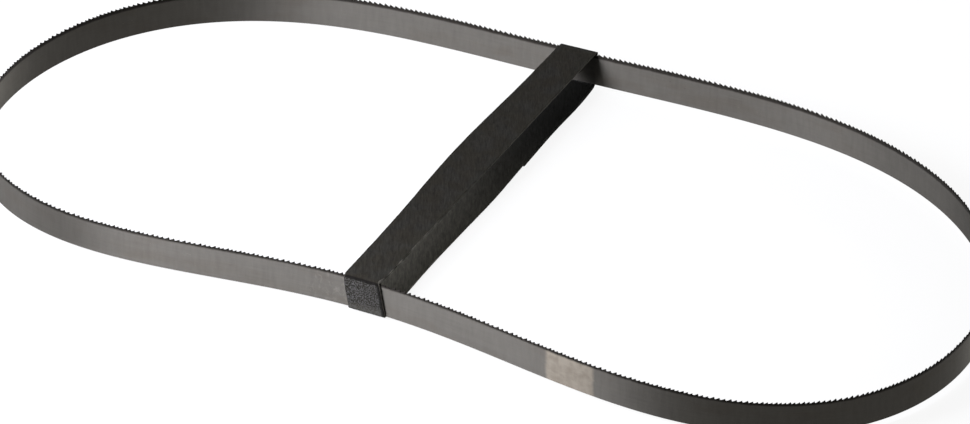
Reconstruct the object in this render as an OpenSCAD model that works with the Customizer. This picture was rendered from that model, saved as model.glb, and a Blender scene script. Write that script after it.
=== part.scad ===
// Band saw blade for a portable saw: one endless band of toothed steel.
// A hook-and-loop strap across the middle holds the loop pinched in.
// +X runs along the loop and +Z from the back edge up to the teeth.
// The origin is under the middle of the loop, on the surface it stands on.

/* [Band] */
// Length of the band, once round along its middle
blade_length = 898.5; // [700:0.5:1400]
// Width of the band, from the back edge to the tooth tips
blade_width = 12.7; // [6:0.1:20]
// Thickness of the band
blade_t = 0.51; // [0.35:0.01:0.9]

/* [Teeth] */
// Teeth to the inch where the pitch is widest
coarse_tpi = 13; // [6:1:16]
// Teeth to the inch where the pitch is closest
fine_tpi = 17; // [8:1:24]
// Teeth from one widest pitch to the next, a multiple of three
group_teeth = 24; // [6:3:30]
// Depth of a gullet at the mean pitch
gullet_depth = 0.7; // [0.4:0.05:1.5]
// How far a set tooth leans out past the face of the band
tooth_set = 0.15; // [0:0.01:0.3]

/* [Weld] */
// Length of the ground patch over the weld
weld_length = 17.5; // [8:0.5:30]
// How far the patch is ground below each face
weld_relief = 0.03; // [0:0.01:0.08]
// From the strap to the middle of the weld, along the front run
weld_from_strap = 81; // [20:1:120]

/* [Loop] */
// Half width of the loop as a share of its half length
slimness = 0.543; // [0.4:0.001:0.8]
// How far the strap pulls both runs in, as a share of the half length
waist = 0.095; // [0:0.001:0.15]
// How much further the front run is pulled in than the rear run
front_pinch = 0.055; // [0:0.001:0.1]
// How full the two ends are
end_fullness = 0.055; // [0:0.001:0.1]
// How much blunter the right end is than the left end
end_bias = 0.025; // [0:0.001:0.05]
// How far the loop leans over to one side
lean = 0.018; // [0:0.001:0.05]
// How far the two ends twist out of line
end_skew = 0.006; // [0:0.001:0.03]

/* [Strap] */
// Width of the strap
strap_w = 13.5; // [8:0.5:25]
// Thickness of one layer of the strap
strap_t = 0.9; // [0.6:0.1:2]
// Gap between the strap and the band, all round
strap_gap = 0.15; // [0.1:0.05:0.5]
// Inside radius of a fold, where the strap turns over the band
fold_r = 0.35; // [0.2:0.05:0.4]
// Where the middle of the strap crosses the long axis of the loop
strap_x = -7.5; // [-60:0.5:60]
// Angle between the strap and square across the loop
strap_turn = 4.2; // [-10:0.1:10]
// How far the lower layer drifts to the left by the time it reaches the rear
strap_drift = 1.9; // [0:0.1:4]
// Length of the tail that is stuck under the rear of the lower layer
tail_length = 53; // [20:1:80]

/* [Hidden] */
steel_colour = "#9a958c";
strap_colour = "#232120";

inch = 25.4;
loop_steps = 720;
fold_steps = 5;
strap_steps = 6;
search_steps = 40;
weld_fade = 2;
set_pattern = [0, 1, -1];

// Heights from the surface: the tail, the lower layer, the band, the top layer
floor_z = 2 * strap_t;
back_z = floor_z + strap_gap;
tip_z = back_z + blade_width;
ceiling_z = tip_z + strap_gap;

// Outline of the loop for a half length of one, at an angle round it
function outline(a) = [
    cos(a) + end_bias * cos(2 * a) + end_fullness * cos(3 * a),
    slimness * sin(a) - front_pinch * cos(2 * a) + lean * sin(2 * a)
        + waist * sin(3 * a) + end_skew * cos(3 * a)
];
function step_angle(i) = i * 360 / loop_steps;
function step_run(i) = norm(outline(step_angle(i + 1)) - outline(step_angle(i)));
outline_runs = [for (i = 0, run = 0; i <= loop_steps; run = run + step_run(i), i = i + 1) run];

// The outline is scaled so that the band has its length, then put in the middle
half_length = blade_length / outline_runs[loop_steps];
outline_points = [for (i = [0:loop_steps - 1]) half_length * outline(step_angle(i))];
outline_xs = [for (p = outline_points) p.x];
outline_ys = [for (p = outline_points) p.y];
loop_middle = [max(outline_xs) + min(outline_xs), max(outline_ys) + min(outline_ys)] / 2;

// Angle round the loop at a distance run along the band
run_angles = [for (i = [0:loop_steps]) [half_length * outline_runs[i], step_angle(i)]];
angle_runs = [for (pair = run_angles) [pair[1], pair[0]]];
function angle_at(run) = lookup(run - blade_length * floor(run / blade_length), run_angles);

// A point on the band, and the same point moved out square to the band
small_angle = 0.01;
function unit(v) = v / norm(v);
function along(a) = unit(outline(a + small_angle) - outline(a - small_angle));
function outward(a) = [along(a).y, -along(a).x];
function on_loop(a, out = 0) = half_length * outline(a) - loop_middle + out * outward(a);

// The strap lies along strap_dir, and across it is measured along strap_side
strap_dir = [sin(strap_turn), cos(strap_turn)];
strap_side = [cos(strap_turn), -sin(strap_turn)];
strap_centre = [strap_x, 0] - loop_middle;
wrap_out = blade_t / 2 + tooth_set + strap_gap;

// Angle round the loop where a run passes a line side mm from the strap's middle
function side_of(a) = (on_loop(a, wrap_out) - strap_centre) * strap_side;
function crossing(side, low, high, tries = search_steps) =
    let (mid = (low + high) / 2)
    tries == 0 ? mid
    : side_of(mid) < side ? crossing(side, mid, high, tries - 1)
    : crossing(side, low, mid, tries - 1);
function front_angle(side) = crossing(side, 200, 340);
function rear_angle(side) = crossing(side, 160, 20);
function reach(a) = (on_loop(a, wrap_out) - strap_centre) * strap_dir;

// Teeth: the pitch swings between the two counts to the inch, in whole groups
mid_tpi = (coarse_tpi + fine_tpi) / 2;
swing_tpi = (fine_tpi - coarse_tpi) / 2;
function free_pitch(i) = inch / (mid_tpi + swing_tpi * cos(360 * i / group_teeth));
function total(list) = list * [for (item = list) 1];
group_length = total([for (i = [0:group_teeth - 1]) free_pitch(i)]);
groups = round(blade_length / group_length);
tooth_count = groups * group_teeth;
pitch_scale = blade_length / (groups * group_length);
mean_pitch = blade_length / tooth_count;
function pitch(i) = pitch_scale * free_pitch(i);
tooth_runs = [for (i = 0, run = 0; i < tooth_count; run = run + pitch(i), i = i + 1) run];

// Corners of one gullet as [share of the pitch, share of the depth]
gullet_start = [0, 0.68];
gullet_floor = [0.16, 1];
gullet_end = [0.38, 0.86];

// Half thickness of the band, less where the weld is ground
weld_run = lookup(front_angle(0), angle_runs) + weld_from_strap;
function ground(run) =
    let (inside = weld_length / 2 - abs(run - weld_run))
    weld_relief * min(1, max(0, inside / weld_fade));
function half_t(run) = blade_t / 2 - ground(run);

// The corners of tooth i, each pair being on the outer and the inner face
function face_pair(run, z, lean_out = 0) =
    let (a = angle_at(run), half = half_t(run))
    [for (out = [half, -half]) [each on_loop(a, lean_out + out), z]];
function blend_pair(pair, next, share, z) =
    [for (k = [0, 1]) let (p = pair[k] * (1 - share) + next[k] * share) [p.x, p.y, z]];
function tooth_points(i) =
    let (
        run = tooth_runs[i],
        next_run = run + pitch(i),
        depth = gullet_depth * pitch(i) / mean_pitch,
        lean_out = tooth_set * set_pattern[i % len(set_pattern)],
        start = face_pair(run, tip_z - gullet_start[1] * depth),
        next = face_pair(next_run, 0)
    )
    [
        each face_pair(run, back_z),
        each start,
        each blend_pair(start, next, gullet_floor[0], tip_z - gullet_floor[1] * depth),
        each blend_pair(start, next, gullet_end[0], tip_z - gullet_end[1] * depth),
        each face_pair(run, tip_z, lean_out)
    ];

// Faces of tooth i: a is its first corner and b the first corner of the next
corners = 10;
function tooth_faces(i) =
    let (a = corners * i, b = corners * ((i + 1) % tooth_count))
    [
        [a, a + 2, a + 4, a + 6, b + 2, b],
        [a + 1, b + 1, b + 3, a + 7, a + 5, a + 3],
        [a + 6, b + 8, b + 2],
        [a + 7, b + 3, b + 9],
        [a, b, b + 1, a + 1],
        [a + 2, a + 3, a + 5, a + 4],
        [a + 4, a + 5, a + 7, a + 6],
        [a + 6, a + 7, b + 9, b + 8],
        [b + 2, b + 8, b + 9, b + 3]
    ];

module blade() {
    color(steel_colour)
    polyhedron(
        points = [for (i = [0:tooth_count - 1]) each tooth_points(i)],
        faces = [for (i = [0:tooth_count - 1]) each tooth_faces(i)]
    );
}

// A quarter turn of a fold as [along the strap, height], from angle a
function fold(centre, radii, a) = [
    for (k = [0:fold_steps])
        let (turn = a + 90 * k / fold_steps)
        [centre.x + radii.x * cos(turn), centre.y + radii.y * sin(turn)]
];

// Closed outline of the strap, thick mm outside its inner face
function strap_outline(front, rear, rear_low, tail, thick) =
    let (
        r = fold_r + thick,
        low = floor_z + fold_r,
        high = ceiling_z - fold_r,
        under = floor_z - thick,
        spread = (strap_t - thick) / 2
    )
    [
        each fold([front + fold_r, low], [r, r], 180),
        [tail - spread, under],
        [tail + spread, under - thick],
        each fold([rear_low - fold_r, low], [r, r + thick], 270),
        each fold([rear - fold_r, high], [r, r], 0),
        each fold([front + fold_r, high], [r, r], 90)
    ];

// The outline at a distance side from the strap's middle, with its drift
outline_count = 4 * (fold_steps + 1) + 2;
strap_top = ceiling_z + strap_t;
function drift(p, front, rear) =
    strap_drift * min(1, max(0, (p.x - front) / (rear - front))) * (1 - p.y / strap_top);
function strap_points(side) =
    let (
        front = reach(front_angle(side)),
        rear = reach(rear_angle(side)),
        rear_low = reach(rear_angle(side - strap_drift)),
        tail = reach(rear_angle(0)) - tail_length
    )
    [
        for (thick = [strap_t, 0])
            for (p = strap_outline(front, rear, rear_low, tail, thick))
                let (across = side - drift(p, front, rear))
                [each (strap_centre + across * strap_side + p.x * strap_dir), p.y]
    ];

// Skin between two neighbouring outlines, in triangles, then the two cut edges
function two_triangles(p, q, r, t) = [[p, q, r], [p, r, t]];
function skin(j, k) =
    let (
        a = 2 * outline_count * j,
        b = a + 2 * outline_count,
        inner = a + outline_count,
        next_inner = b + outline_count,
        next = (k + 1) % outline_count
    )
    [
        each two_triangles(a + k, b + k, b + next, a + next),
        each two_triangles(inner + k, inner + next, next_inner + next, next_inner + k)
    ];
function cut_edges(k) =
    let (last = 2 * outline_count * strap_steps, next = (k + 1) % outline_count)
    [
        each two_triangles(k, next, outline_count + next, outline_count + k),
        each two_triangles(
            last + k, last + outline_count + k, last + outline_count + next, last + next
        )
    ];

module strap() {
    color(strap_colour)
    polyhedron(
        points = [for (j = [0:strap_steps]) each strap_points(strap_w * (j / strap_steps - 1 / 2))],
        faces = [
            for (j = [0:strap_steps - 1], k = [0:outline_count - 1]) each skin(j, k),
            for (k = [0:outline_count - 1]) each cut_edges(k)
        ]
    );
}

blade();
strap();
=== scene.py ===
import math

import bpy
from mathutils import Matrix, Vector, noise


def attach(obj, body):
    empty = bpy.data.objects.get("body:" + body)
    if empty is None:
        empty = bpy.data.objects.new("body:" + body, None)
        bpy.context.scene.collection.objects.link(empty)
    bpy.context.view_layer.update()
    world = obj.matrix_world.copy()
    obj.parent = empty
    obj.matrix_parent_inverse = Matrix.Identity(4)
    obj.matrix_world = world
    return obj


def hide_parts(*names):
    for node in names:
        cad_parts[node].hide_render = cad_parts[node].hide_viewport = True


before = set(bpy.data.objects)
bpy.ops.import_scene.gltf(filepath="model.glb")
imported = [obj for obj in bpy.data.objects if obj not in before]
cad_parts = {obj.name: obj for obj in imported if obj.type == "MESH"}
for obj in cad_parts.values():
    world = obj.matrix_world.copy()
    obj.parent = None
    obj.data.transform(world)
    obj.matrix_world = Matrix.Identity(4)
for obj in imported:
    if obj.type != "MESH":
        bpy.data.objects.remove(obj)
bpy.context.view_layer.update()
mm = 0.001
print("frame loaded")


# Helpers for modelling with operators

def deselectAll():
    if bpy.context.object and bpy.context.object.mode != "OBJECT":
        bpy.ops.object.mode_set(mode="OBJECT")
    bpy.ops.object.select_all(action="DESELECT")


def useOnly(piece):
    deselectAll()
    bpy.context.view_layer.objects.active = piece
    piece.select_set(True)


def editPicked(piece, test):  # leaves the piece in edit mode with the vertices that pass the test
    useOnly(piece)
    bpy.ops.object.mode_set(mode="EDIT")
    bpy.ops.mesh.select_mode(type="VERT")
    bpy.ops.mesh.select_all(action="DESELECT")
    bpy.ops.object.mode_set(mode="OBJECT")
    for vertex in piece.data.vertices:
        vertex.select = test(vertex.co)
    bpy.ops.object.mode_set(mode="EDIT")


def editAll(piece):
    useOnly(piece)
    bpy.ops.object.mode_set(mode="EDIT")
    bpy.ops.mesh.select_all(action="SELECT")


def addModifier(piece, kind, **settings):
    useOnly(piece)
    made = piece.modifiers.new(kind.lower(), kind)
    for name, value in settings.items():
        setattr(made, name, value)
    bpy.ops.object.modifier_apply(modifier=made.name)


def applyPlace(piece):
    useOnly(piece)
    bpy.ops.object.transform_apply(location=True, rotation=True, scale=True)


# Camera at the photograph's height, turn and distance

camera = {
    "turn": math.radians(24.25),
    "height": math.radians(35.588),
    "distance": 4.0,
    "target": Vector((-4.2523, -2.9399, 1.95)) * mm,
    "slideRight": 1.846 * mm,
    "slideUp": 0.365 * mm,
    "lens": 438.2,
    "sensor": 36.0,
}


def makeCamera():
    turn, height = camera["turn"], camera["height"]
    back = Vector((math.sin(turn) * math.cos(height), -math.cos(turn) * math.cos(height), math.sin(height)))
    right = Vector((math.cos(turn), math.sin(turn), 0))
    up = back.cross(right)
    place = (camera["target"] + camera["distance"] * back
             + camera["slideRight"] * right + camera["slideUp"] * up)
    deselectAll()
    bpy.ops.object.camera_add(location=place)
    made = bpy.context.object
    made.matrix_world = Matrix((right, up, back)).transposed().to_4x4()
    made.location = place
    made.data.lens = camera["lens"]
    made.data.sensor_width = camera["sensor"]
    made.data.sensor_fit = "HORIZONTAL"
    made.data.clip_end = 50
    bpy.context.scene.camera = made


makeCamera()
print("camera placed")


# Shader maths: a wrapped socket takes part in plain expressions

class Wire:
    def __init__(self, shader, socket):
        self.shader, self.socket = shader, socket

    def math(self, operation, first, second):
        return self.shader.node("ShaderNodeMath", {"operation": operation}, {0: first, 1: second})

    def __add__(self, other):
        return self.math("ADD", self, other)

    def __sub__(self, other):
        return self.math("SUBTRACT", self, other)

    def __rsub__(self, other):
        return self.math("SUBTRACT", other, self)

    def __mul__(self, other):
        return self.math("MULTIPLY", self, other)

    def __truediv__(self, other):
        return self.math("DIVIDE", self, other)

    def __pow__(self, other):
        return self.math("POWER", self, other)

    def __abs__(self):
        return self.math("ABSOLUTE", self, 0)

    __radd__ = __add__
    __rmul__ = __mul__


class Shader:
    def __init__(self, name):
        self.material = bpy.data.materials.new(name)
        self.material.use_nodes = True
        self.nodes = self.material.node_tree.nodes
        self.links = self.material.node_tree.links
        self.surface = self.nodes["Principled BSDF"]

    def feed(self, socket, value):
        if isinstance(value, Wire):
            self.links.new(value.socket, socket)
        else:
            socket.default_value = value

    def node(self, kind, settings={}, inputs={}, output=0):
        made = self.nodes.new(kind)
        for name, value in settings.items():
            if name == "stops":
                for stop in range(2, len(value)):
                    made.color_ramp.elements.new(1)
                for stop, (place, colour) in zip(made.color_ramp.elements, value):
                    stop.position, stop.color = place, (*colour, 1)
            else:
                setattr(made, name, value)
        for name, value in inputs.items():
            self.feed(made.inputs[name], value)
        return Wire(self, made.outputs[output])

    def fix(self, **values):  # what is the same all over the surface, on the shader's own sockets
        for name, value in values.items():
            self.surface.inputs[name.replace("_", " ")].default_value = value

    def vary(self, name, value):
        self.feed(self.surface.inputs[name], value)

    def split(self, vector):
        made = self.nodes.new("ShaderNodeSeparateXYZ")
        self.feed(made.inputs[0], vector)
        return [Wire(self, made.outputs[k]) for k in range(3)]

    def join(self, x, y, z=0.0):
        return self.node("ShaderNodeCombineXYZ", {}, {0: x, 1: y, 2: z})

    def stretch(self, vector, scale):
        return self.node("ShaderNodeVectorMath", {"operation": "MULTIPLY"}, {0: vector, 1: scale})

    def noise(self, vector, scale, detail=2.0, roughness=0.5, distortion=0.0):
        return self.node("ShaderNodeTexNoise", {}, {
            "Vector": vector, "Scale": scale, "Detail": detail,
            "Roughness": roughness, "Distortion": distortion})

    def cells(self, vector, scale, feature="F1"):
        return self.node("ShaderNodeTexVoronoi", {"feature": feature}, {"Vector": vector, "Scale": scale})

    def step(self, value, low, high, first=0.0, last=1.0):  # smooth change from first to last
        return self.node("ShaderNodeMapRange", {"interpolation_type": "SMOOTHSTEP"},
                         {0: value, 1: low, 2: high, 3: first, 4: last})

    def ramp(self, value, stops):
        return self.node("ShaderNodeValToRGB", {"stops": stops}, {0: value})

    def mix(self, share, first, second, blend="MIX"):
        return self.node("ShaderNodeMix", {"data_type": "RGBA", "blend_type": blend},
                         {0: share, 6: first, 7: second}, output=2)

    def bump(self, height, distance, strength=1.0):
        return self.node("ShaderNodeBump", {}, {
            "Height": height, "Distance": distance, "Strength": strength})


# The loop of the band, as the outline that the frame was made from

loop = {
    "bladeLength": 898.5 * mm,
    "slimness": 0.543,
    "waist": 0.095,
    "frontPinch": 0.055,
    "endFullness": 0.055,
    "endBias": 0.025,
    "lean": 0.018,
    "endSkew": 0.006,
    "steps": 1440,
}


def outline(angle):
    x = math.cos(angle) + loop["endBias"] * math.cos(2 * angle) + loop["endFullness"] * math.cos(3 * angle)
    y = (loop["slimness"] * math.sin(angle) - loop["frontPinch"] * math.cos(2 * angle)
         + loop["lean"] * math.sin(2 * angle) + loop["waist"] * math.sin(3 * angle)
         + loop["endSkew"] * math.cos(3 * angle))
    return Vector((x, y, 0))


def makeLoopPoints():
    turn = 2 * math.pi / loop["steps"]
    rough = [outline(turn * k) for k in range(loop["steps"])]
    around = sum((rough[k] - rough[k - 1]).length for k in range(loop["steps"]))
    scale = loop["bladeLength"] / around
    middle = Vector(((max(p.x for p in rough) + min(p.x for p in rough)) / 2,
                     (max(p.y for p in rough) + min(p.y for p in rough)) / 2, 0))
    return [scale * (p - middle) for p in rough], scale, scale * middle


loopPoints, halfLength, loopMiddle = makeLoopPoints()


def makePath(name, points, closed):
    path = bpy.data.curves.new(name, "CURVE")
    path.dimensions = "3D"
    path.twist_mode = "Z_UP"
    spline = path.splines.new("POLY")
    spline.points.add(len(points) - 1)
    for point, place in zip(spline.points, points):
        point.co = (*place, 1)
    spline.use_cyclic_u = closed
    made = bpy.data.objects.new(name, path)
    bpy.context.scene.collection.objects.link(made)
    return made


# Band: one group of teeth is shaped on a flat strip, repeated, and bent round the loop

band = {
    "backZ": 1.95 * mm,
    "width": 12.7 * mm,
    "thickness": 0.51 * mm,
    "backBreak": 0.08 * mm,
    "groups": 22,
    "groupTeeth": 24,
    "coarseTpi": 13,
    "fineTpi": 17,
    "gulletDepth": 0.7 * mm,
    "toothSet": 0.15 * mm,
    "setPattern": (0, 1, -1),
    "rootDepth": 1.1 * mm,
    "bendDepth": 1.5 * mm,
    "toothRows": 3,
    "innerMap": 0.1,
    # one tooth from tip to tip, as shares of its pitch and of its depth
    "toothLine": ((0, 0), (0.02, 0.68), (0.06, 0.9), (0.16, 1), (0.27, 0.97), (0.38, 0.86), (0.69, 0.43)),
}


def toothPitches():
    middle = (band["coarseTpi"] + band["fineTpi"]) / 2
    swing = (band["fineTpi"] - band["coarseTpi"]) / 2
    free = [1 / (middle + swing * math.cos(2 * math.pi * k / band["groupTeeth"]))
            for k in range(band["groupTeeth"])]
    scale = loop["bladeLength"] / (band["groups"] * sum(free))
    return [scale * pitch for pitch in free]


def toothStations():  # along the band, depth of the top line, and how far it leans out
    stations, run = [], 0
    pitches = toothPitches()
    mean = sum(pitches) / len(pitches)
    for k, pitch in enumerate(pitches):
        depth = band["gulletDepth"] * pitch / mean
        for share, fall in band["toothLine"]:
            tip = k if share < 0.2 else k + 1
            side = band["setPattern"][tip % len(band["setPattern"])]
            stations.append((run + share * pitch, fall * depth, side * (1 - min(1, fall)) * band["toothSet"]))
        run += pitch
    return stations + [(run, 0, 0)]


def makeBand():
    stations = toothStations()
    columns = len(stations) - 1
    groupLength = stations[-1][0]
    width, root = band["width"], band["width"] - band["rootDepth"]
    bend = band["rootDepth"] - band["bendDepth"]
    deselectAll()
    bpy.ops.mesh.primitive_grid_add(x_subdivisions=columns, y_subdivisions=1, size=1,
                                    location=(0.5, 0, 0.5), rotation=(math.pi / 2, 0, 0))
    made = bpy.context.object
    made.name = "bandBody"
    applyPlace(made)
    # the columns go to their stations, still as high as the root of the teeth
    for k in range(columns, -1, -1):
        editPicked(made, lambda co: abs(co.x - k / columns) < 1e-5)
        bpy.ops.transform.translate(value=(2 + stations[k][0] - k / columns, 0, 0))
    editAll(made)
    bpy.ops.transform.translate(value=(-2, 0, 0))
    bpy.ops.transform.resize(value=(1, 1, root + bend), center_override=(0, 0, 0))
    # the top edge goes up to the root and on to the tips, then each column down to the tooth line
    editPicked(made, lambda co: co.z > root + bend - 1e-6)
    bpy.ops.mesh.extrude_region_move(TRANSFORM_OT_translate={"value": (0, 0, -bend)})
    bpy.ops.mesh.extrude_region_move(TRANSFORM_OT_translate={"value": (0, 0, band["rootDepth"])})
    for x, fall, lean in stations:
        editPicked(made, lambda co: abs(co.x - x) < 1e-6 and co.z > width - 1e-6)
        bpy.ops.transform.translate(value=(0, -lean, -fall))
    # rows across the teeth, so that the set bends and does not fold
    useOnly(made)
    bpy.ops.object.mode_set(mode="EDIT")
    bpy.ops.mesh.select_mode(type="EDGE")
    bpy.ops.mesh.select_all(action="DESELECT")
    bpy.ops.object.mode_set(mode="OBJECT")
    points = made.data.vertices
    for edge in made.data.edges:
        low, high = (points[k].co for k in edge.vertices)
        edge.select = abs(low.x - high.x) < 1e-7 and max(low.z, high.z) > root + 1e-6
    bpy.ops.object.mode_set(mode="EDIT")
    bpy.ops.mesh.subdivide(number_cuts=band["toothRows"] - 1)
    bpy.ops.object.mode_set(mode="OBJECT")
    addFlatMap(made)
    addModifier(made, "ARRAY", count=band["groups"], use_relative_offset=False, use_constant_offset=True,
                constant_offset_displace=(groupLength, 0, 0), use_merge_vertices=True,
                merge_threshold=2e-6, offset_u=groupLength)
    made.data.transform(Matrix.Translation((0, 0, band["backZ"])))
    path = makePath("loopPath", loopPoints, True)
    addModifier(made, "CURVE", object=path, deform_axis="POS_X")
    bpy.data.objects.remove(path)
    editAll(made)
    bpy.ops.mesh.remove_doubles(threshold=5e-6)
    bpy.ops.mesh.normals_make_consistent(inside=False)
    addModifier(made, "SOLIDIFY", thickness=band["thickness"], offset=0, use_even_offset=True)
    markInnerFace(made)
    useOnly(made)
    bpy.ops.object.shade_smooth_by_angle(angle=math.radians(30))
    return made


def markInnerFace(piece):  # the inner face has its own place on the flat map
    flat = piece.data.uv_layers["flatMap"].data
    for face in piece.data.polygons:
        if face.normal.x * face.center.x + face.normal.y * face.center.y < 0 and abs(face.normal.z) < 0.7:
            for corner in face.loop_indices:
                flat[corner].uv.y += band["innerMap"]


def addFlatMap(piece):  # the band laid flat, in metres: along it and up it
    flat = piece.data.uv_layers.new(name="flatMap")
    for corner in piece.data.loops:
        place = piece.data.vertices[corner.vertex_index].co
        flat.data[corner.index].uv = (place.x, place.z)


bandPiece = makeBand()
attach(bandPiece, "root")
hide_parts("blade")
print("band modelled", len(bandPiece.data.vertices), len(bandPiece.data.polygons))


# Strap: flat webbing bent along its path round the band, with the tail stuck underneath

strap = {
    "width": 13.5 * mm,
    "thickness": 0.9 * mm,
    "gap": 0.15 * mm,
    "foldRadius": 0.35 * mm,
    "x": -7.5 * mm,
    "turn": math.radians(4.2),
    "drift": 1.9 * mm,
    "tail": 53 * mm,
    "foldSteps": 8,
    "mesh": 0.42 * mm,
    "edgeRound": 0.28 * mm,
    # how far a layer's free edge bulges: by how much, where along the strap, and over what share of it
    "upperBulge": (1.75 * mm, 0.53, 0.24),
    "lowerBulge": (1.3 * mm, 0.6, 0.26),
    "rearShift": (1.0 * mm, 0.93, 0.1),
    "frontShift": (1.3 * mm, 0.0, 0.12),
    "cornerPull": 0.9 * mm,
    "cornerReach": 2.2 * mm,
    "foldPinch": 0.38 * mm,
    "pinchReach": 2.6 * mm,
    "sinkLength": 26 * mm,
    "creaseDrop": 1.05 * mm,
    "creaseHeight": 0.4 * mm,
    "creaseDepth": 0.32 * mm,
    "pileHeight": 0.14 * mm,
    "pileSize": 0.6 * mm,
    "waveHeight": 0.14 * mm,
    "waveSize": 7 * mm,
}


def strapAxes():
    turn = strap["turn"]
    return Vector((math.sin(turn), math.cos(turn), 0)), Vector((math.cos(turn), -math.sin(turn), 0))


def bandCrossings(side):  # where the band passes a line beside the strap's middle: reach and run, front and rear
    along, across = strapAxes()
    centre = Vector((strap["x"], 0, 0)) - loopMiddle
    out = band["thickness"] / 2 + band["toothSet"] + strap["gap"]
    found, run = {}, 0
    for k, here in enumerate(loopPoints):
        after = loopPoints[(k + 1) % len(loopPoints)]
        way = (after - here).normalized()
        push = out * Vector((way.y, -way.x, 0)) - centre
        low, high = (here + push).dot(across) - side, (after + push).dot(across) - side
        if low <= 0 < high or high <= 0 < low:
            share = low / (low - high)
            reach = (here + push).dot(along) * (1 - share) + (after + push).dot(along) * share
            found["front" if reach < 0 else "rear"] = (reach, run + share * (after - here).length)
        run += (after - here).length
    return found


def arc(centre, radius, start, turn):
    angles = [math.radians(start + turn * k / strap["foldSteps"]) for k in range(strap["foldSteps"] + 1)]
    return [Vector((0, centre[0] + radius * math.cos(a), centre[1] + radius * math.sin(a))) for a in angles]


def strapPath(front, rear):  # middle of the webbing, from its hidden end round to the end of the tail
    t, r = strap["thickness"], strap["foldRadius"]
    floor = 2 * t
    ceiling = band["backZ"] + band["width"] + strap["gap"]
    inner, outer = r + t / 2, r + 1.5 * t
    back = rear + t / 2
    return [
        Vector((0, back - outer, floor - t / 2)),
        *arc((front + r, floor + r), inner, 270, -90),
        *arc((front + r, ceiling - r), inner, 180, -90),
        *arc((rear - r, ceiling - r), inner, 90, -90),
        *arc((back - outer, t / 2 + outer), outer, 0, -90),
        Vector((0, rear - strap["tail"], t / 2)),
    ]


def lengthOf(points):
    return sum((b - a).length for a, b in zip(points, points[1:]))


def bulge(name, share):
    most, place, spread = strap[name]
    return most * math.exp(-((share - place) / spread) ** 2)


def makeStrap():
    crossings = bandCrossings(0)
    front, rear = crossings["front"][0], crossings["rear"][0]
    edges = [bandCrossings(side * strap["width"] / 2) for side in (-1, 1)]
    slopes = [(edges[1][run][0] - edges[0][run][0]) / strap["width"] for run in ("front", "rear")]
    points = strapPath(front, rear)
    length, width = lengthOf(points), strap["width"]
    deselectAll()
    bpy.ops.mesh.primitive_grid_add(x_subdivisions=round(length / strap["mesh"]),
                                    y_subdivisions=round(width / strap["mesh"]),
                                    size=1, location=(length / 2, 0, 0))
    made = bpy.context.object
    made.name = "strapWebbing"
    made.scale = (length, width, 1)
    applyPlace(made)
    flat = made.data.uv_layers.new(name="flatMap")
    for corner in made.data.loops:
        place = made.data.vertices[corner.vertex_index].co
        flat.data[corner.index].uv = (place.x, place.y)
    path = makePath("strapPath", points, False)
    path.data.twist_mode = "MINIMUM"
    addModifier(made, "CURVE", object=path, deform_axis="POS_X")
    bpy.data.objects.remove(path)
    addModifier(made, "SOLIDIFY", thickness=strap["thickness"], offset=0)
    addModifier(made, "BEVEL", width=strap["edgeRound"], segments=2, limit_method="ANGLE",
                angle_limit=math.radians(60))
    # the folds follow the band, and the lower layer drifts to the left towards the rear
    along, across = strapAxes()
    centre = Vector((strap["x"], 0, 0)) - loopMiddle
    top = band["backZ"] + band["width"] + strap["gap"] + strap["thickness"]
    floor, tailStart, sinkLength = 2 * strap["thickness"] + 1e-5, rear - strap["tail"], strap["sinkLength"]
    creaseZ = top - strap["creaseDrop"]
    for vertex in made.data.vertices:
        side, reach, height = vertex.co
        share = min(1, max(0, (reach - front) / (rear - front)))
        upper = min(1, max(0, 2 * height / top - 0.5))
        side += upper * bulge("upperBulge", share) * (side / width - 0.5)
        side += (1 - upper) * (bulge("lowerBulge", share) * (side / width + 0.5)
                               + bulge("rearShift", share) + bulge("frontShift", share))
        nearCorner = math.hypot(height - top, reach - front) / strap["cornerReach"]
        side -= strap["cornerPull"] * math.exp(-nearCorner * nearCorner) * (side / width + 0.5)
        side -= strap["drift"] * share * (1 - height / top)
        if height < floor:  # before its tail the lower layer sinks to the surface
            clear = min(1, max(0, (tailStart - reach) / sinkLength)) * min(1, max(0, (reach - front) / sinkLength))
            height -= (floor - strap["thickness"]) * clear * clear * (3 - 2 * clear)
        wave = noise.noise(Vector((side, reach, height)) / strap["waveSize"])
        height += math.sin(math.pi * share) * strap["waveHeight"] * wave * (1 if height > floor else 0)
        # the outer skin is pinched in at the lower front fold and the upper rear fold
        t = strap["thickness"]
        for outer, corner, way in (((front - reach, floor - height), (front - t, floor - t), 1),
                                   ((reach - rear, height - top + t), (rear + t, top), -1)):
            skin = min(1, max(0, max(outer) / t))
            gone = math.hypot(reach - corner[0], height - corner[1]) / strap["pinchReach"]
            push = way * strap["foldPinch"] * skin * math.exp(-gone * gone)
            reach, height = reach + push, height + push
        if reach < front - strap["thickness"] / 2:  # the wall is creased just under its upper fold
            reach += strap["creaseDepth"] * math.exp(-((height - creaseZ) / strap["creaseHeight"]) ** 2)
        reach += side * (slopes[0] * (1 - share) + slopes[1] * share)
        vertex.co = centre + side * across + reach * along + Vector((0, 0, height))
    editAll(made)
    bpy.ops.mesh.normals_make_consistent(inside=False)
    pile = bpy.data.textures.new("pile", "CLOUDS")
    pile.noise_scale = strap["pileSize"]
    addModifier(made, "DISPLACE", texture=pile, texture_coords="LOCAL", strength=strap["pileHeight"], mid_level=0.5)
    useOnly(made)
    bpy.ops.object.shade_smooth_by_angle(angle=math.radians(50))
    return made, length


strapPiece, strapLength = makeStrap()
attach(strapPiece, "root")
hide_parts("strap")
print("strap modelled", strapLength, len(strapPiece.data.vertices), len(strapPiece.data.polygons))


# Floor, lamps and world

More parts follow.
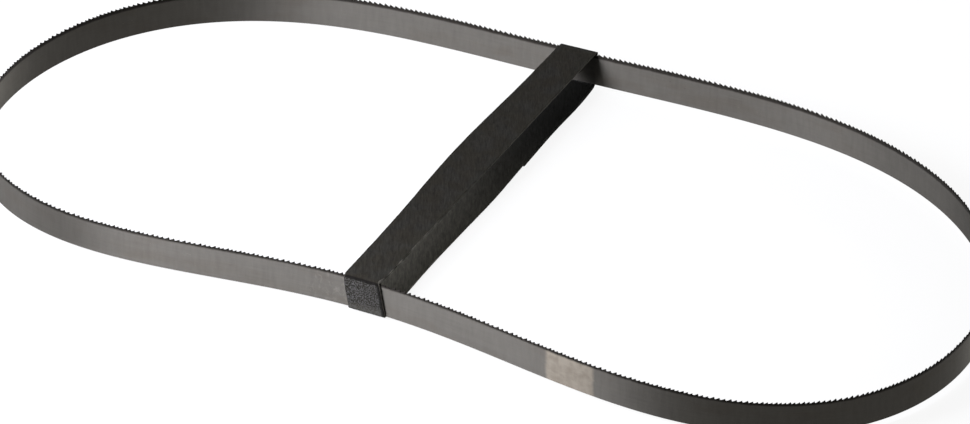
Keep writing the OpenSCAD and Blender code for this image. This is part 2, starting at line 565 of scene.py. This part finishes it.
stage = {"floorSize": 30, "floorColour": (0.9, 0.9, 0.9, 1), "whiteShare": 0.88, "worldStrength": 0.25}
lamps = {
    "key": {"place": (-0.16, -0.255, 0.242), "aim": (-0.2, 0, 0.01), "size": (0.2, 0.2), "power": 2.85,
            "colour": (0.97, 0.995, 1.1)},
    "left": {"place": (-0.42, -0.13, 0.22), "aim": (-0.1, 0, 0.01), "size": (0.32, 0.2), "power": 1.7,
             "colour": (0.97, 0.995, 1.1)},
    "top": {"place": (0.2, 0.6, 1.6), "aim": (0, 0, 0), "size": (1.2, 1.2), "power": 5,
            "colour": (1, 1, 1)},
    "back": {"place": (0.25, 0.8, 0.2), "aim": (0.02, 0, 0.01), "size": (1.1, 0.3), "power": 6,
             "colour": (1, 1, 1)},
}


def makeStage():
    deselectAll()
    bpy.ops.mesh.primitive_plane_add(size=stage["floorSize"])
    floor = bpy.context.object
    floor.name = "floor"
    paper = Shader("palePaper")
    paper.fix(Base_Color=stage["floorColour"], Roughness=0.9)
    rays = paper.nodes.new("ShaderNodeLightPath")
    camera, glossy, through = (Wire(paper, rays.outputs[name])
                               for name in ("Is Camera Ray", "Is Glossy Ray", "Is Transmission Ray"))
    white = paper.node("ShaderNodeEmission", {}, {"Color": (1, 1, 1, 1), "Strength": 1.0})
    both = paper.node("ShaderNodeMixShader", {}, {
        0: (camera + glossy + through) * stage["whiteShare"],
        1: Wire(paper, paper.surface.outputs[0]), 2: white})
    paper.links.new(both.socket, paper.nodes["Material Output"].inputs["Surface"])
    floor.data.materials.append(paper.material)


def makeLamps():
    for name, lamp in lamps.items():
        place = Vector(lamp["place"])
        deselectAll()
        bpy.ops.object.light_add(type="AREA", location=place)
        made = bpy.context.object
        made.name = name
        made.rotation_euler = (place - Vector(lamp["aim"])).to_track_quat("Z", "Y").to_euler()
        made.data.shape = "RECTANGLE"
        made.data.size, made.data.size_y = lamp["size"]
        made.data.energy = lamp["power"]
        made.data.color = lamp["colour"]
        made.visible_camera = False
    world = bpy.data.worlds.new("studio")
    bpy.context.scene.world = world
    world.use_nodes = True
    sky = world.node_tree.nodes["Background"]
    sky.inputs["Color"].default_value = (1, 1, 1, 1)
    sky.inputs["Strength"].default_value = stage["worldStrength"]


makeStage()
makeLamps()
bpy.context.scene.view_settings.view_transform = "Standard"
print("stage and lamps ready")


# Steel: rolled along the band, dark at the hardened teeth, ground bright over the weld

steel = {
    "colour": (0.084, 0.0785, 0.069, 1),
    "film": (0.076, 0.069, 0.059, 1),
    "tooth": (0.019, 0.0168, 0.0145, 1),
    "ground": (0.176, 0.1555, 0.127, 1),
    "groundDark": (0.14, 0.122, 0.0975, 1),
    "roughness": 0.6,
    "anisotropy": 0.9,
    "weldFromStrap": 81.4 * mm,
    "weldLength": 18.5 * mm,
    "weldFade": 0.85 * mm,
    "toothLine": 11.75 * mm,
    "innerToothLine": 11.3 * mm,
    "toothFade": 0.45 * mm,
    "rubFromStrap": 13 * mm,
    "rubReach": 6 * mm,
    "rubFade": 3 * mm,
}


def makeSteel():
    made = Shader("rolledSteel")
    made.fix(Metallic=1.0, Anisotropic=steel["anisotropy"], Anisotropic_Rotation=0.25)
    flat = made.node("ShaderNodeUVMap", {"uv_map": "flatMap"})
    run, up, unused = made.split(flat)
    inner = made.step(up, 0.04, 0.06)
    up = up - inner * band["innerMap"]

    # lines left by the rolls, from hair-fine to about a millimetre, and slow changes along the strip
    hair = made.noise(made.stretch(flat, (70, 5200, 0)), 1, 2)
    lines = made.noise(made.stretch(flat, (22, 1100, 0)), 1, 3, 0.6)
    cloud = made.noise(made.stretch(flat, (55, 160, 0)), 1, 4, 0.6, 0.4)
    slow = made.noise(made.stretch(flat, (14, 60, 0)), 1, 2)
    stain = made.noise(made.stretch(flat, (620, 100, 0)), 1, 3, 0.6, 0.3)
    tone = 0.55 + 0.2 * hair + 0.28 * lines + 0.16 * cloud + 0.3 * stain
    colour = made.mix(made.step(cloud * 0.6 + slow * 0.4, 0.46, 0.66), steel["colour"], steel["film"])

    # thin pale scuffs, and small dark specks of oil
    scuff = made.step(made.noise(made.stretch(flat, (420, 1500, 0)), 1, 3, 0.65, 1.2), 0.66, 0.76)
    scuff = scuff * made.step(slow, 0.5, 0.62)
    speck = made.step(made.noise(made.stretch(flat, (900, 1300, 0)), 1, 2), 0.71, 0.78)
    tone = tone + 0.45 * scuff - 0.25 * speck

    # the film is rubbed thin beside the strap, in pale smears
    crossings = bandCrossings(0)
    fromRub = abs(run - (crossings["front"][1] - steel["rubFromStrap"]))
    rubbed = made.step(fromRub, steel["rubReach"], steel["rubReach"] + steel["rubFade"], 1.0, 0.0)
    smear = made.step(made.noise(made.stretch(flat, (520, 300, 0)), 1, 4, 0.65, 0.9), 0.5, 0.68)
    tone = tone + rubbed * (0.26 * smear - 0.06)

    # the hardened strip under and between the teeth
    edge = up + 0.5 * mm * made.noise(made.stretch(flat, (260, 0, 0)), 1, 2)
    edge = edge + inner * (steel["toothLine"] - steel["innerToothLine"])
    hard = made.step(edge, steel["toothLine"] - steel["toothFade"], steel["toothLine"] + steel["toothFade"])

    # the ground patch over the weld, with marks of the wheel across the band
    middle = crossings["front"][1] + steel["weldFromStrap"]
    wobble = 2.4 * mm * (made.noise(made.stretch(flat, (0, 330, 0)), 1, 2) - 0.5)
    off = abs(run + wobble - middle)
    half = steel["weldLength"] / 2
    weld = made.step(off, half - steel["weldFade"], half + steel["weldFade"], 1.0, 0.0)
    marks = made.noise(made.stretch(flat, (3800, 120, 0)), 1, 3, 0.6)
    mottle = made.noise(made.stretch(flat, (260, 240, 0)), 1, 4, 0.6, 0.3)
    ground = made.mix(made.step(mottle + 0.2 * marks, 0.42, 0.78), steel["ground"], steel["groundDark"])
    colour = made.mix(hard, made.mix(weld, colour, ground), steel["tooth"])
    tone = tone * (1 - weld) + weld * (0.84 + 0.32 * marks)
    made.vary("Base Color", made.mix(1.0, colour, made.join(tone, tone, tone), "MULTIPLY"))

    made.vary("Roughness", steel["roughness"] - 0.08 + 0.14 * lines + 0.05 * weld - 0.06 * scuff)
    relief = (1 - weld) * (0.5 * hair + 0.5 * lines) + weld * (marks + 0.6 * mottle)
    made.vary("Normal", made.bump(relief, 0.012 * mm, 0.6))
    return made.material


# Webbing: black nylon with a short looped pile

webbing = {
    "colour": (0.015, 0.0135, 0.0103, 1),
    # the darkest colour: dark specks and rim of the wall, painted shade in its crease and painted shadow in the
    # slit at its right edge
    "gap": (0.004, 0.0036, 0.003, 1),
    "cool": (0.0158, 0.015, 0.0127, 1),
    # painted light on the lower layer, against the top layer's shade, and painted shade at its far end
    "under": (0.0405, 0.038, 0.0305, 1),
    "underRear": (0.011, 0.011, 0.0095, 1),
    # painted light for the side faces of the cut edges, against their shade
    "paintedEdgeLight": (0.06, 0.056, 0.047, 1),
    # painted highlight along the cut edges
    "paintedEdgeHighlight": (0.14, 0.13, 0.112, 1),
    "fleck": (0.056, 0.054, 0.052, 1),
    "strokeContrast": 1.7,
    "lay": math.radians(-114),
    "creaseZ": 14.7 * mm,
    "edge": 0.22 * mm,
}


def makeWebbing():
    made = Shader("loopWebbing")
    made.fix(Roughness=0.95, Specular_IOR_Level=0.06)
    place = made.node("ShaderNodeTexCoord", output=3)
    flat = made.node("ShaderNodeUVMap", {"uv_map": "flatMap"})
    along, across, unused = made.split(flat)
    facing = made.node("ShaderNodeNewGeometry", output=1)
    unused, reach, height = made.split(place)
    upright = made.step(abs(made.split(facing)[1]), 0.5, 0.85)
    wall = upright * made.step(height, webbing["creaseZ"] - 0.2 * mm, webbing["creaseZ"] + 0.4 * mm, 1.0, 0.0)

    # loops of the pile lie over to one side as short strokes, with finer flecks between them
    turned = made.node("ShaderNodeVectorRotate", {"rotation_type": "Z_AXIS"},
                       {"Vector": place, "Angle": webbing["lay"]})
    strokes = made.noise(made.stretch(turned, (300, 1750, 1750)), 1, 3, 0.62, 0.5)
    flecks = made.noise(place, 2100, 3, 0.7)
    patches = made.noise(place, 130, 3, 0.6)
    tone = 1 + webbing["strokeContrast"] * (strokes - 0.5) * (0.5 + patches) * (1 - wall)
    colour = made.mix(made.step(patches, 0.4, 0.65), webbing["colour"], webbing["cool"])

    # the lower layer, lifted by painted light out of the top layer's shade, with painted shade at its far end, and
    # painted light on the cut edges
    low = made.step(height, 3 * mm, 6 * mm, 1.0, 0.0)
    rear = made.step(reach, -20 * mm, 60 * mm)
    # the strap lighter towards its front end
    tone = tone * made.step(reach, -60 * mm, -15 * mm, 1.0, 0.84)
    colour = made.mix(low, colour, made.mix(rear, webbing["under"], webbing["underRear"]))
    # the side faces of the cut edges get painted light, against the shade they stand in
    paintedLightSides = made.step(abs(made.split(facing)[0]), 0.6, 0.9)
    colour = made.mix(paintedLightSides * (1 - low) * 0.5, colour, webbing["paintedEdgeLight"])
    colour = made.mix(1.0, colour, made.join(tone, tone, tone), "MULTIPLY")

    # flecks and dark specks of the pile, the dark rim of the wall over the band, and painted shade in its crease
    colour = made.mix(wall * made.step(flecks, 0.45, 0.62), colour, webbing["fleck"])
    colour = made.mix(wall * made.step(flecks, 0.36, 0.47, 1.0, 0.0) * 0.5, colour, webbing["gap"])
    rim = made.step(abs(across), strap["width"] / 2 - 2 * webbing["edge"], strap["width"] / 2 - webbing["edge"])
    creaseShade = upright * made.step(abs(height - webbing["creaseZ"]), 0.3 * mm, 0.7 * mm, 1.0, 0.0)
    slitShadow = wall * made.step(across, strap["width"] / 2 - 1.3 * mm, strap["width"] / 2 - 0.8 * mm)
    colour = made.mix(rim * wall * 0.6, colour, webbing["gap"])
    colour = made.mix(creaseShade * 0.85, colour, webbing["gap"])

    # a painted highlight runs in places along the cut edges of the layers, most of all near the front
    edgeHighlight = made.step(abs(across), strap["width"] / 2 - 0.3 * mm, strap["width"] / 2 - 0.1 * mm) * (1 - wall)
    edgeHighlight = edgeHighlight * made.step(made.noise(made.join(along, 0, 0), 160, 3, 0.6), 0.42, 0.6)
    edgeHighlight = edgeHighlight * made.step(reach, -50 * mm, -15 * mm, 1.0, 0.15)
    colour = made.mix(edgeHighlight * 0.6, colour, webbing["paintedEdgeHighlight"])
    # painted shadow in the slit between the wall's right edge and the band
    colour = made.mix(slitShadow * 0.85, colour, webbing["gap"])
    made.vary("Base Color", colour)
    made.vary("Normal", made.bump(strokes * 0.6 + flecks * 0.7, 0.12 * mm, 0.8))
    return made.material


for piece, material in ((bandPiece, makeSteel()), (strapPiece, makeWebbing())):
    piece.data.materials.clear()
    piece.data.materials.append(material)
print("materials ready")
